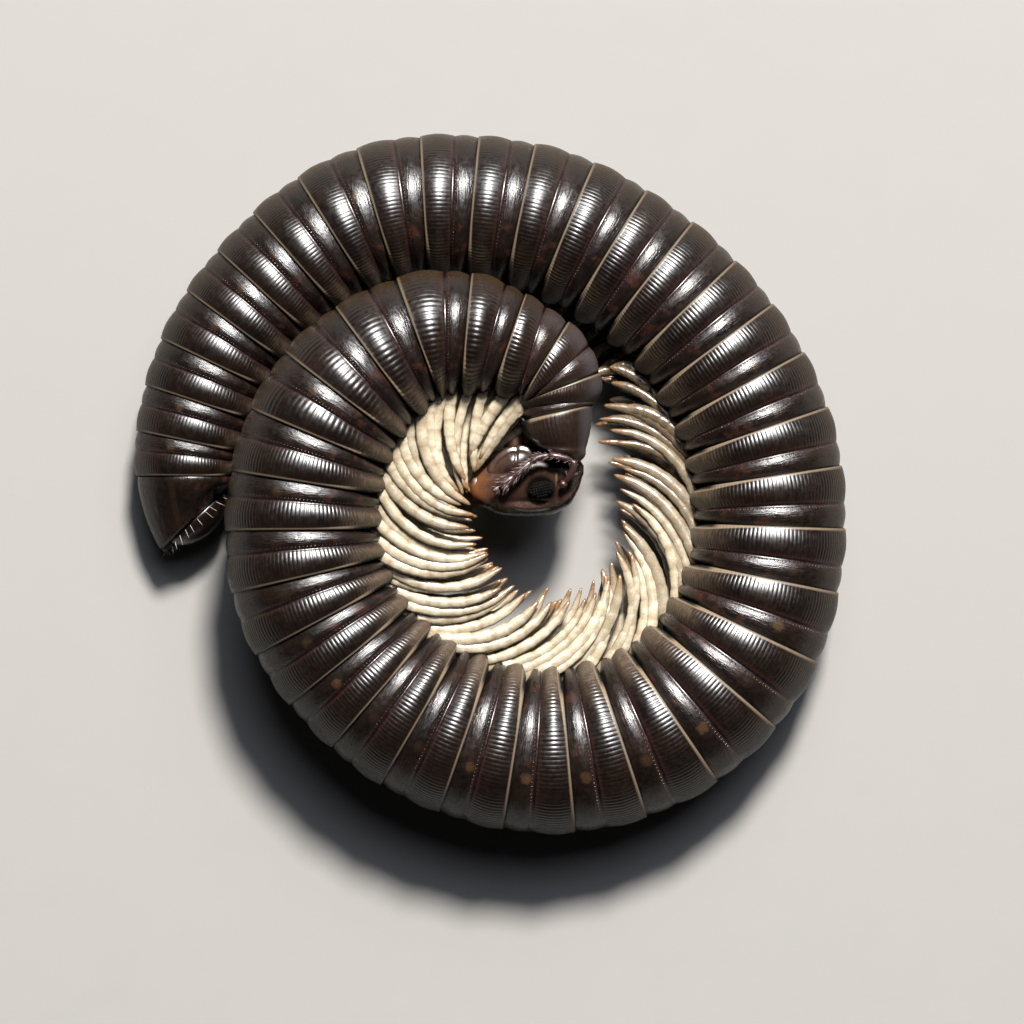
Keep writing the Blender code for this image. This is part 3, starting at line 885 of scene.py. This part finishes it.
def headCapsule(material):
    length = head["sections"][-1][0]
    rows = []
    for row in range(head["rows"] + 1):
        share = (1 - math.cos(math.pi * row / head["rows"])) / 2
        rows.append((length * share, 1.0))
    bm = spinTube(rows, head["steps"])
    layers = addLayers(bm, "ahead", "brow", "near", "strut")
    backX, backY = head["back"]
    eyePlace = headMiddle + Vector(headForms["eyeSwelling"][0])
    for vert, turn, _, ahead in straightPlaces(bm):
        drop, height, width = smoothBetween(head["sections"], min(ahead, length))
        point = Vector((backX - ahead, backY + drop + height * math.cos(turn), width * math.sin(turn)))
        middle = Vector((backX - ahead, backY + drop, 0.0))
        outward = (point - middle).normalized()
        mirror = Vector((point.x, point.y, abs(point.z)))
        point += outward * sum(bulge(mirror, *form) for form in headForms.values())
        vert.co = headMiddle + point
        near = max(0.0, 1 - (vert.co - eyePlace).length / head["nearEye"])
        strut = bulge(mirror, *headForms["strut"]) / headForms["strut"][2]
        paint(vert, layers, ahead / length, (1 - math.cos(turn)) / 2, near, strut)
    finishPiece("headCapsule", bm, material, ("head",))


capsuleLook = {
    "noises": {"cloud": (2200.0, 4.0), "grain": (12000.0, 2.0)},
    "layers": ("ahead", "brow", "near", "strut"),
    "offs": {"offRidge": ("brow", 0.83)},
    "wavering": ("ahead", 0.05),
    "base": (  # from the back to the lip
        (0.10, (0.011, 0.007, 0.0055)), (0.45, (0.016, 0.009, 0.007)), (0.66, (0.028, 0.013, 0.010)),
        (0.80, (0.050, 0.023, 0.014)), (0.91, (0.115, 0.043, 0.014)), (0.99, (0.090, 0.026, 0.007)),
    ),
    "tints": (  # brow, its ridge in pinkish brown that is partly a painted highlight, speckles, brown above the eye, black round it, the strut behind it
        ((0.012, 0.006, 0.005), ("brow", 0.62, 0.95), ("ahead", 0.95, 0.70, 0.0, 0.9)),
        # pinkish brown of the ridge, partly a painted highlight along it
        ((0.085, 0.042, 0.036), ("offRidge", 0.07, 0.02), ("ahead", 0.78, 0.62, 0.0, 0.8)),
        ((0.030, 0.013, 0.010), ("cloud", 0.55, 0.72, 0.0, 0.4)),
        ((0.024, 0.013, 0.008), ("near", 0.25, 0.48, 0.0, 0.8)),
        ((0.002, 0.0015, 0.0015), ("near", 0.54, 0.70)),
        ((0.060, 0.036, 0.021), ("strut", 0.25, 0.75)),
    ),
    "bumps": (("cloud", 0.000016, 0.6), ("grain", 0.000004, 0.6)),
    "roughness": ("grain", 0.20, 0.30),
    "under": (0.20, (1.0, 0.4, 0.2), 0.00015),
    "sockets": {"IOR": 1.55},
}


def capsuleMaterial():
    nodes = Nodes("capsuleFinish", capsuleLook)
    # duller round the eye and along the lower edge
    roundEye = nodes.soft(("near", 0.20, 0.48), ("brow", 0.80, 0.72))
    roughness = nodes.plus(nodes.roughness(), nodes.times(roundEye, 0.2))
    gloss = nodes.soft(("brow", 0.90, 0.985, 0.5, 0.06), (roundEye, 0.0, 1.0, 1.0, 0.0))
    return nodes.finish(Roughness=roughness, SpecularIORLevel=gloss)


cheek = {
    "centre": (-0.40, 0.80, 0.44),
    "radii": (0.62, 0.36, 0.43),
    "turn": 24,
    "seam": 0.16,  # along its length, between its two plates
    "seamSlant": 0.25,
    "seamDepth": 0.035,
    "seamWidth": 0.05,
    "bead": 58,  # degrees from the top of the bead along its edge
    "beadHeight": 0.052,
    "beadWidth": 7,
    "groove": (0.6, 1.8),  # depth of the groove beside the bead, distance, in heights and widths of the bead
    "taper": 0.22,  # towards the back
}


def cheekPiece(name, side, material):
    bm = newBall(72, 44)
    layers = addLayers(bm, "ahead", "brow")
    turn = Matrix.Rotation(math.radians(cheek["turn"]), 3, "Z")
    centre = Vector((cheek["centre"][0], cheek["centre"][1], cheek["centre"][2] * side))
    depth, distance = cheek["groove"]
    for vert in bm.verts:
        unit = vert.co.copy()
        offSeam = (unit.x - cheek["seam"] - cheek["seamSlant"] * unit.y) / cheek["seamWidth"]
        offBead = (math.degrees(math.acos(abs(unit.z))) - cheek["bead"]) / cheek["beadWidth"]
        bead = math.exp(-offBead ** 2) - depth * math.exp(-(offBead + distance) ** 2)
        relief = cheek["beadHeight"] * bead * max(0.0, unit.y) ** 0.5
        relief -= cheek["seamDepth"] * math.exp(-offSeam ** 2)
        radii = [radius + relief for radius in cheek["radii"]]
        taper = 1 - cheek["taper"] * max(0.0, -unit.x)
        point = Vector((unit.x * radii[0], unit.y * radii[1] * taper, unit.z * radii[2] * taper))
        vert.co = headMiddle + centre + turn @ point
        paint(vert, layers, (1 - unit.x) / 2, (1 - unit.y) / 2)
    finishPiece(name, bm, material, ("head",))


cheekLook = {
    "noises": {"cloud": (2600.0, 3.0), "grain": (12000.0, 2.0), "mottling": (5200.0, 3.0)},
    "layers": ("ahead", "brow"),
    "wavering": ("ahead", 0.08),
    "base": (
        (0.05, (0.014, 0.007, 0.005)), (0.45, (0.020, 0.011, 0.007)), (0.70, (0.032, 0.016, 0.011)),
        (0.98, (0.060, 0.031, 0.023)),
    ),
    "tints": (  # mottling, upper edge
        ((0.004, 0.002, 0.002), ("mottling", 0.50, 0.62, 0.0, 0.7)),
        ((0.075, 0.034, 0.020), ("brow", 0.10, 0.0, 0.0, 0.7)),
    ),
    "bumps": (("cloud", 0.000018, 0.7), ("grain", 0.000003, 0.5)),
    "roughness": ("cloud", 0.26, 0.36),
    "under": (0.15, (1.0, 0.4, 0.2), 0.00012),
    "sockets": {"IOR": 1.7},
}


lip = {
    "forms": (  # middle, radii and turn of the lip and of the chin
        ((-1.18, 0.36, 0.0), (0.30, 0.30, 0.50), 0),
        ((-0.72, 0.82, 0.0), (0.62, 0.26, 0.26), 26),
    ),
    "noises": {"cloud": (3000.0, 3.0), "grain": (12000.0, 2.0)},
    "layers": ("brow",),
    "wavering": ("brow", 0.08),
    "base": (  # from brow to chin
        (0.10, (0.050, 0.026, 0.017)), (0.36, (0.170, 0.100, 0.072)),
        (0.60, (0.165, 0.058, 0.016)), (0.90, (0.080, 0.021, 0.006)),
    ),
    "bumps": (("grain", 0.000003, 0.5),),
    "roughness": ("cloud", 0.34, 0.46),
    "under": (0.35, (1.0, 0.5, 0.25), 0.00015),
    "sockets": {"IOR": 1.6, "CoatWeight": 0.6, "CoatRoughness": 0.22},
}


def setInHead(bm, radii, turn, centre):
    bmesh.ops.scale(bm, vec=radii, verts=bm.verts)
    bmesh.ops.rotate(bm, matrix=Matrix.Rotation(math.radians(turn), 3, "Z"), verts=bm.verts)
    bmesh.ops.translate(bm, vec=headMiddle + Vector(centre), verts=bm.verts)


def lipPiece(material):
    whole = bmesh.new()
    for centre, radii, turn in lip["forms"]:
        bm = newBall(56, 32)
        layers = addLayers(bm, "brow")
        for vert in bm.verts:
            paint(vert, layers, (1 - vert.co.y) / 2)
        setInHead(bm, radii, turn, centre)
        joinInto(whole, bm)
    finishPiece("lipAndChin", whole, material, ("head",))


neckFold = {
    "points": ((0.24, 0.72, 0.0), (0.22, 1.10, 0.05), (0.22, 1.50, 0.22), (0.24, 1.95, 0.45)),
    "radius": 0.36,
    "lobe": (-0.34, 1.42, -0.10),  # soft lobe between the legs and the head
    "lobeRadii": (0.30, 0.42, 0.36),
    "ripple": 0.008,
    "ripples": 42,  # radians of them along the fold
    "rippleWaver": 0.6,
    "steps": 48,
    "rows": 30,
    "noises": {"cloud": (3000.0, 4.0), "grain": (14000.0, 2.0)},
    "base": ((0.3, (0.060, 0.028, 0.013)), (0.7, (0.150, 0.080, 0.040))),
    "bumps": (("cloud", 0.000030, 0.8), ("grain", 0.000006, 0.6)),
    "roughness": ("grain", 0.40, 0.55),
    "under": (0.3, (1.0, 0.6, 0.35), 0.00012),
}


def neckPiece(material):
    rows = [(row / neckFold["rows"], 1.0) for row in range(neckFold["rows"] + 1)]
    bm = spinTube(rows, neckFold["steps"])
    path = [headMiddle + Vector(point) for point in neckFold["points"]]
    for vert, turn, _, share in straightPlaces(bm):
        centre, _, beside, above = pathFrame(path, share, 0.05)
        waver = neckFold["rippleWaver"] * math.sin(2 * turn)
        radius = neckFold["radius"] + neckFold["ripple"] * math.sin(share * neckFold["ripples"] + waver)
        vert.co = centre + radius * around(beside, above, turn)
    lobe = newBall(40, 24)
    setInHead(lobe, neckFold["lobeRadii"], 0, neckFold["lobe"])
    joinInto(bm, lobe)
    finishPiece("neckFold", bm, material, ("head",))


eye = {
    "centre": (0.22, 0.22, 0.80),
    "turn": 12,
    "size": (0.30, 0.20, 0.13),
    "lensRadius": 0.034,
    "lensRows": (4, 6, 8, 8, 7, 5),  # lenses in each row, from brow to chin
    "lensPitch": (0.062, 0.0558),  # in a row, and between rows
    "leastRise": 0.05,  # keeps the outer lenses on the eye
    "noises": {"cloud": (4000.0, 2.0)},
    "base": ((0.35, (0.002, 0.002, 0.002)), (0.75, (0.008, 0.006, 0.006))),
    "roughness": ("cloud", 0.45, 0.55),
    "sockets": {"IOR": 1.2, "SpecularIORLevel": 0.03},
}


def eyePiece(name, node, side, material):
    bm = newBall(48, 24)
    bmesh.ops.scale(bm, vec=eye["size"], verts=bm.verts)
    middleRow = (len(eye["lensRows"]) - 1) / 2
    pitch, rowPitch = eye["lensPitch"]
    for row, count in enumerate(eye["lensRows"]):
        y = (row - middleRow) * rowPitch
        for lens in range(count):
            x = (lens - (count - 1) / 2) * pitch
            inside = 1 - (x / eye["size"][0]) ** 2 - (y / eye["size"][1]) ** 2
            z = eye["size"][2] * math.sqrt(max(inside, eye["leastRise"])) * side
            bmesh.ops.create_icosphere(
                bm, subdivisions=2, radius=eye["lensRadius"], matrix=Matrix.Translation((x, y, z))
            )
    x, y, z = eye["centre"]
    setInHead(bm, (1, 1, 1), eye["turn"], (x, y, z * side))
    finishPiece(name, bm, material, (node,))


antenna = {
    "path": (  # from the socket to the tip
        (0.66, 0.28, 0.84), (0.86, 0.52, 1.02), (0.94, 0.80, 1.14), (0.60, 0.94, 1.18),
        (0.18, 0.92, 1.16), (-0.34, 0.52, 1.14), (-0.80, 0.18, 1.04),
    ),
    "articles": (0.12, 0.46, 0.42, 0.34, 0.38, 0.30, 0.14),
    "thickness": (0.17, 0.16, 0.16, 0.17, 0.20, 0.29, 0.19),
    "form": (  # of one joint: share of its length, share of its thickness
        (0.03, 0.50), (0.10, 0.62), (0.30, 0.80), (0.55, 0.94), (0.80, 1.02), (0.93, 0.98), (0.985, 0.80),
    ),
    "steps": 20,
    "bristles": 260,
    "bristleZone": (0.08, 0.98),  # shares of its length
    "bristleCrowding": 0.6,  # the smaller, the closer to the tip
    "bristleLean": (0.75, 0.65),  # towards the tip, outward
    "bristleLengths": (0.084, 0.154),
    "bristleRadius": 0.0042,
    "bristleRoot": 0.9,  # as a share of the thickness
    "noises": {"cloud": (5000.0, 4.0), "grain": (20000.0, 2.0)},
    "layers": ("along",),
    "wavering": ("along", 0.04),
    "base": (  # from the socket to the tip
        (0.04, (0.035, 0.018, 0.012)), (0.18, (0.034, 0.017, 0.015)), (0.50, (0.026, 0.011, 0.013)),
        (0.95, (0.022, 0.008, 0.010)),
    ),
    "tints": (((0.055, 0.024, 0.023), ("cloud", 0.52, 0.70, 0.0, 0.5)),),
    "bumps": (("grain", 0.000005, 0.7),),
    "roughness": ("grain", 0.26, 0.42),
    "under": (0.10, (1.0, 0.5, 0.4), 0.00008),
    "sockets": {"IOR": 1.5},
}


def addBristle(bm, root, way, length, radius):
    turn = way.to_track_quat("Z", "Y").to_matrix().to_4x4()
    matrix = Matrix.Translation(root + way * length / 2) @ turn
    bmesh.ops.create_cone(
        bm, cap_ends=True, segments=4, radius1=radius, radius2=radius * 0.25, depth=length, matrix=matrix
    )


def antennaPieces(side, suffix, feeler, bristle):
    path = [headMiddle + Vector((x, y, z * side)) for x, y, z in antenna["path"]]
    total = sum(antenna["articles"])
    rows = []
    start = 0.0
    for length, thickness in zip(antenna["articles"], antenna["thickness"]):
        for share, factor in antenna["form"]:
            rows.append(((start + length * share) / total, thickness / 2 * factor))
        start += length
    bm = spinTube(rows, antenna["steps"])

    @cache
    def frameOf(share):
        return pathFrame(path, share, 0.03)

    layers = addLayers(bm, "along")
    for vert, turn, radius, share in straightPlaces(bm):
        centre, _, beside, above = frameOf(round(share, 4))
        vert.co = centre + radius * around(beside, above, turn)
        paint(vert, layers, share)
    finishPiece("antenna" + suffix, bm, feeler, ("antenna_" + suffix.lower(),))
    bm = bmesh.new()
    first, last = antenna["bristleZone"]
    ahead, aside = antenna["bristleLean"]
    for _ in range(antenna["bristles"]):
        share = first + (last - first) * luck.random() ** antenna["bristleCrowding"]
        turn = luck.uniform(0, math.tau)
        centre, way, beside, above = frameOf(share)
        out = around(beside, above, turn)
        root = centre + out * between(rows, share)[0] * antenna["bristleRoot"]
        lie = (way * ahead + out * aside).normalized()
        addBristle(bm, root, lie, luck.uniform(*antenna["bristleLengths"]), antenna["bristleRadius"])
    finishPiece("bristles" + suffix, bm, bristle)


def bristleMaterial(name, low, high):
    look = {
        "noises": {"cloud": (5000.0, 2.0)},
        "base": ((0.3, low), (0.7, high)),
        "roughness": ("cloud", 0.28, 0.42),
    }
    return Nodes(name, look).finish()


headCapsule(capsuleMaterial())
cheekFinish = Nodes("cheekFinish", cheekLook).finish()
cheekPiece("cheekRight", 1, cheekFinish)
cheekPiece("cheekLeft", -1, cheekFinish)
lipPiece(Nodes("lipFinish", lip).finish())
neckPiece(Nodes("membraneFinish", neckFold).finish())
eyeFinish = Nodes("eyeFinish", eye).finish()
eyePiece("eyeRight", "eye_right", 1, eyeFinish)
eyePiece("eyeLeft", "eye_left", -1, eyeFinish)
feelerFinish = Nodes("antennaFinish", antenna).finish()
darkBristles = bristleMaterial("darkBristles", (0.05, 0.028, 0.024), (0.42, 0.34, 0.30))
antennaPieces(1, "Right", feelerFinish, darkBristles)
antennaPieces(-1, "Left", feelerFinish, darkBristles)
print("head done")


# the tail

tail = {
    "length": 1.00,
    "profile": (  # share of the length, radius as a share of the half thickness, lean of the back
        (0.00, 0.930, 0.0), (0.03, 0.945, 0.0), (0.10, 0.958, 0.0), (0.20, 0.960, -0.05),
        (0.32, 0.945, -0.14), (0.45, 0.915, -0.27), (0.58, 0.880, -0.39), (0.70, 0.850, -0.49),
        (0.82, 0.820, -0.59), (0.92, 0.795, -0.67), (0.98, 0.775, -0.70), (1.00, 0.745, -0.71),
        (1.005, 0.70, -0.71),
    ),
    "steps": 160,
    "spineTip": (-8.14, -1.17, 0.86),
    "spineRoot": (0.60, 0.05),
    "spineRows": (  # share of the length, radius
        (0.0, 0.34), (0.2, 0.28), (0.4, 0.22), (0.6, 0.165), (0.8, 0.11), (0.93, 0.06), (1.0, 0.014),
    ),
    "valveRows": (  # rise above the rim, share of the way out to it
        (0.0, 0.80), (0.05, 0.79), (0.14, 0.74), (0.24, 0.64), (0.33, 0.50), (0.40, 0.32), (0.44, 0.12),
        (0.445, 0.02),
    ),
    "valveShift": 0.14,
    "valveGap": 0.03,
    "valveSize": 0.84,
    "flattening": 0.07,
    "valveRise": 0.02,
    "bristles": 26,
    "bristleJitter": 0.05,
    "bristleRing": 0.70,  # as a share of the half thickness
    "bristleRise": 0.06,
    "bristleLean": (0.8, 0.5),  # to the rear, outward
    "bristleLengths": (0.18, 0.30),
    "bristleRadius": 0.0075,
    "spineBristles": 8,
    "spineBristlesFrom": 0.55,
    "ringTone": (0.15, 0.30, 0.2),  # the ring part it is coloured like, from and to, and its tone
    "spineLayers": (0.2, 0.9, 0.2),
    "valveLayers": (0.2, 0.7, 0.5),
}


def tailPieces(material, bristle):
    front = spans[-1][1]
    rows = [(share, factor) for share, factor, _ in tail["profile"]]
    leans = {share: lean for share, _, lean in tail["profile"]}
    alongFrom, alongTo, tone = tail["ringTone"]
    bm = spinTube(rows, tail["steps"])
    layers = addLayers(bm, "along", "round", "tone")
    for vert, turn, factor, share in straightPlaces(bm):
        share = min(leans, key=lambda known: abs(known - share))
        place = bodyFrame(front + tail["length"] * share)
        vert.co = bodyPoint(place, tail["flattening"], turn, factor, 0.0, leans[share])
        paint(vert, layers, alongFrom + (alongTo - alongFrom) * share, bellyShare(turn), tone)
    end = bodyFrame(front + tail["length"])
    position, half, _, rear, belly, up = end
    rootIn, rootBack = tail["spineRoot"]
    root = position - belly * half * rootIn + rear * half * rootBack
    tip = Vector(tail["spineTip"])
    spine = spinTube(tail["spineRows"], 24)
    spineTurn = (tip - root).normalized().to_track_quat("Z", "Y").to_matrix()
    layers = addLayers(spine, "along", "round", "tone")
    for vert in spine.verts:
        x, y, share = vert.co
        vert.co = root + spineTurn @ Vector((x, y, share * (tip - root).length))
        paint(vert, layers, *tail["spineLayers"])
    joinInto(bm, spine)
    finishPiece("tailRing", bm, material, ("tail",))

    lean = leans[1.00]
    outward = (rear - belly * lean).normalized()
    shift = (belly + rear * lean).normalized() * tail["valveShift"]

    def rimPoint(turn, factor):
        return bodyPoint(end, tail["flattening"], turn, factor, 0.0, lean)

    for name, node, side in (("valveRight", "valve_right", 1), ("valveLeft", "valve_left", -1)):
        valve = spinTube(tail["valveRows"], 96)
        layers = addLayers(valve, "along", "round", "tone")
        for vert, turn, share, rise in straightPlaces(valve):
            rim = rimPoint(turn, tail["valveSize"])
            vert.co = position + (rim - position) * share + outward * (rise + tail["valveRise"]) + shift
            paint(vert, layers, *tail["valveLayers"])
        cut = position + shift + up * side * tail["valveGap"] / 2
        whole = [*valve.verts, *valve.edges, *valve.faces]
        bmesh.ops.bisect_plane(valve, geom=whole, plane_co=cut, plane_no=up * side, clear_inner=True)
        bmesh.ops.holes_fill(valve, edges=[edge for edge in valve.edges if edge.is_boundary])
        finishPiece(name, valve, material, (node,))
    bristles = bmesh.new()
    toRear, aside = tail["bristleLean"]
    for number in range(tail["bristles"]):
        turn = math.tau * (number + 0.5) / tail["bristles"] + randomly(tail["bristleJitter"])
        rim = rimPoint(turn, tail["bristleRing"])
        base = rim + outward * tail["bristleRise"] + shift
        way = (outward * toRear + (rim - position).normalized() * aside).normalized()
        addBristle(bristles, base, way, luck.uniform(*tail["bristleLengths"]), tail["bristleRadius"])
    for _ in range(tail["spineBristles"]):
        base = root.lerp(tip, luck.uniform(tail["spineBristlesFrom"], 1.0))
        way = (way * 0.2 + Vector((randomly(1), -1.0, luck.uniform(-0.3, 1)))).normalized()
        addBristle(bristles, base, way, tail["bristleLengths"][0], tail["bristleRadius"])
    finishPiece("tailBristles", bristles, bristle)


paleBristles = bristleMaterial("paleBristles", (0.26, 0.20, 0.15), (0.45, 0.39, 0.33))
tailPieces(shellMaterial("tailFinish"), paleBristles)
print("tail done")


# the studio

studio = {
    "floorSide": 400.0,  # mm, as are the other lengths
    "floorDrop": 0.02,  # keeps it just below the animal
    "base": ((0.3, (0.17945, 0.17363, 0.16490)), (0.7, (0.18870, 0.18258, 0.17340))),  # the floor's colours
    "noises": {"cloud": (900.0, 4.0)},
    "bumps": (("cloud", 0.00001, 0.3),),
    "roughness": ("cloud", 0.7, 0.8),
    "cameraMiddle": (0.506, -0.627, 2.5),  # what the photo's centre shows
    "frameWidth": 22.53,
    "cameraHeight": 120.0,
    "sensorWidth": 36.0,
    "lights": {  # way to it, distance, size, power, colour
        "keyLight": ((0.22, 0.97, 1.30), 350.0, 60.0, 4.7, (1.0, 0.97, 0.92)),
        "softLight": ((0.21, 0.78, 1.15), 320.0, 240.0, 0.80, (0.80, 0.86, 1.0)),
    },
    "worldColour": (0.93, 0.92, 0.93),
    "worldStrength": 0.018,
}


def areaLight(name, way, distance, size, power, colour):
    light = bpy.data.lights.new(name, "AREA")
    light.color = colour
    light.shape = "DISK"
    light.size = size * mm
    light.energy = power
    lamp = bpy.data.objects.new(name, light)
    place = Vector(way).normalized() * distance * mm
    lamp.location = place
    lamp.rotation_euler = place.to_track_quat("Z", "Y").to_euler()
    bpy.context.scene.collection.objects.link(lamp)


def buildStudio():
    bm = bmesh.new()
    bmesh.ops.create_grid(bm, x_segments=1, y_segments=1, size=studio["floorSide"] / 2 * mm)
    bmesh.ops.translate(bm, vec=(0, 0, -studio["floorDrop"] * mm), verts=bm.verts)
    mesh = bpy.data.meshes.new("floor")
    bm.to_mesh(mesh)
    bm.free()
    mesh.materials.append(Nodes("floorFinish", studio).finish())
    floor = bpy.data.objects.new("floor", mesh)
    bpy.context.scene.collection.objects.link(floor)
    floor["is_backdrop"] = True

    for light, values in studio["lights"].items():
        areaLight(light, *values)
    world = bpy.data.worlds.new("studioWorld")
    world.use_nodes = True
    background = world.node_tree.nodes["Background"]
    background.inputs["Color"].default_value = (*studio["worldColour"], 1.0)
    background.inputs["Strength"].default_value = studio["worldStrength"]
    bpy.context.scene.world = world

    camera = bpy.data.cameras.new("camera")
    camera.sensor_width = studio["sensorWidth"]
    camera.lens = camera.sensor_width * studio["cameraHeight"] / studio["frameWidth"]
    camera.clip_start = 0.01
    camera.clip_end = 10.0
    viewer = bpy.data.objects.new("camera", camera)
    x, y, z = studio["cameraMiddle"]
    viewer.location = (x * mm, y * mm, (z + studio["cameraHeight"]) * mm)
    bpy.context.scene.collection.objects.link(viewer)
    bpy.context.scene.camera = viewer
    bpy.context.scene.view_settings.view_transform = "Standard"


buildStudio()
print("studio done")

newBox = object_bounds()
boxes = {"cad": cadBox, "visual": newBox}
{key: [list(corner) for corner in box] for key, box in boxes.items()}
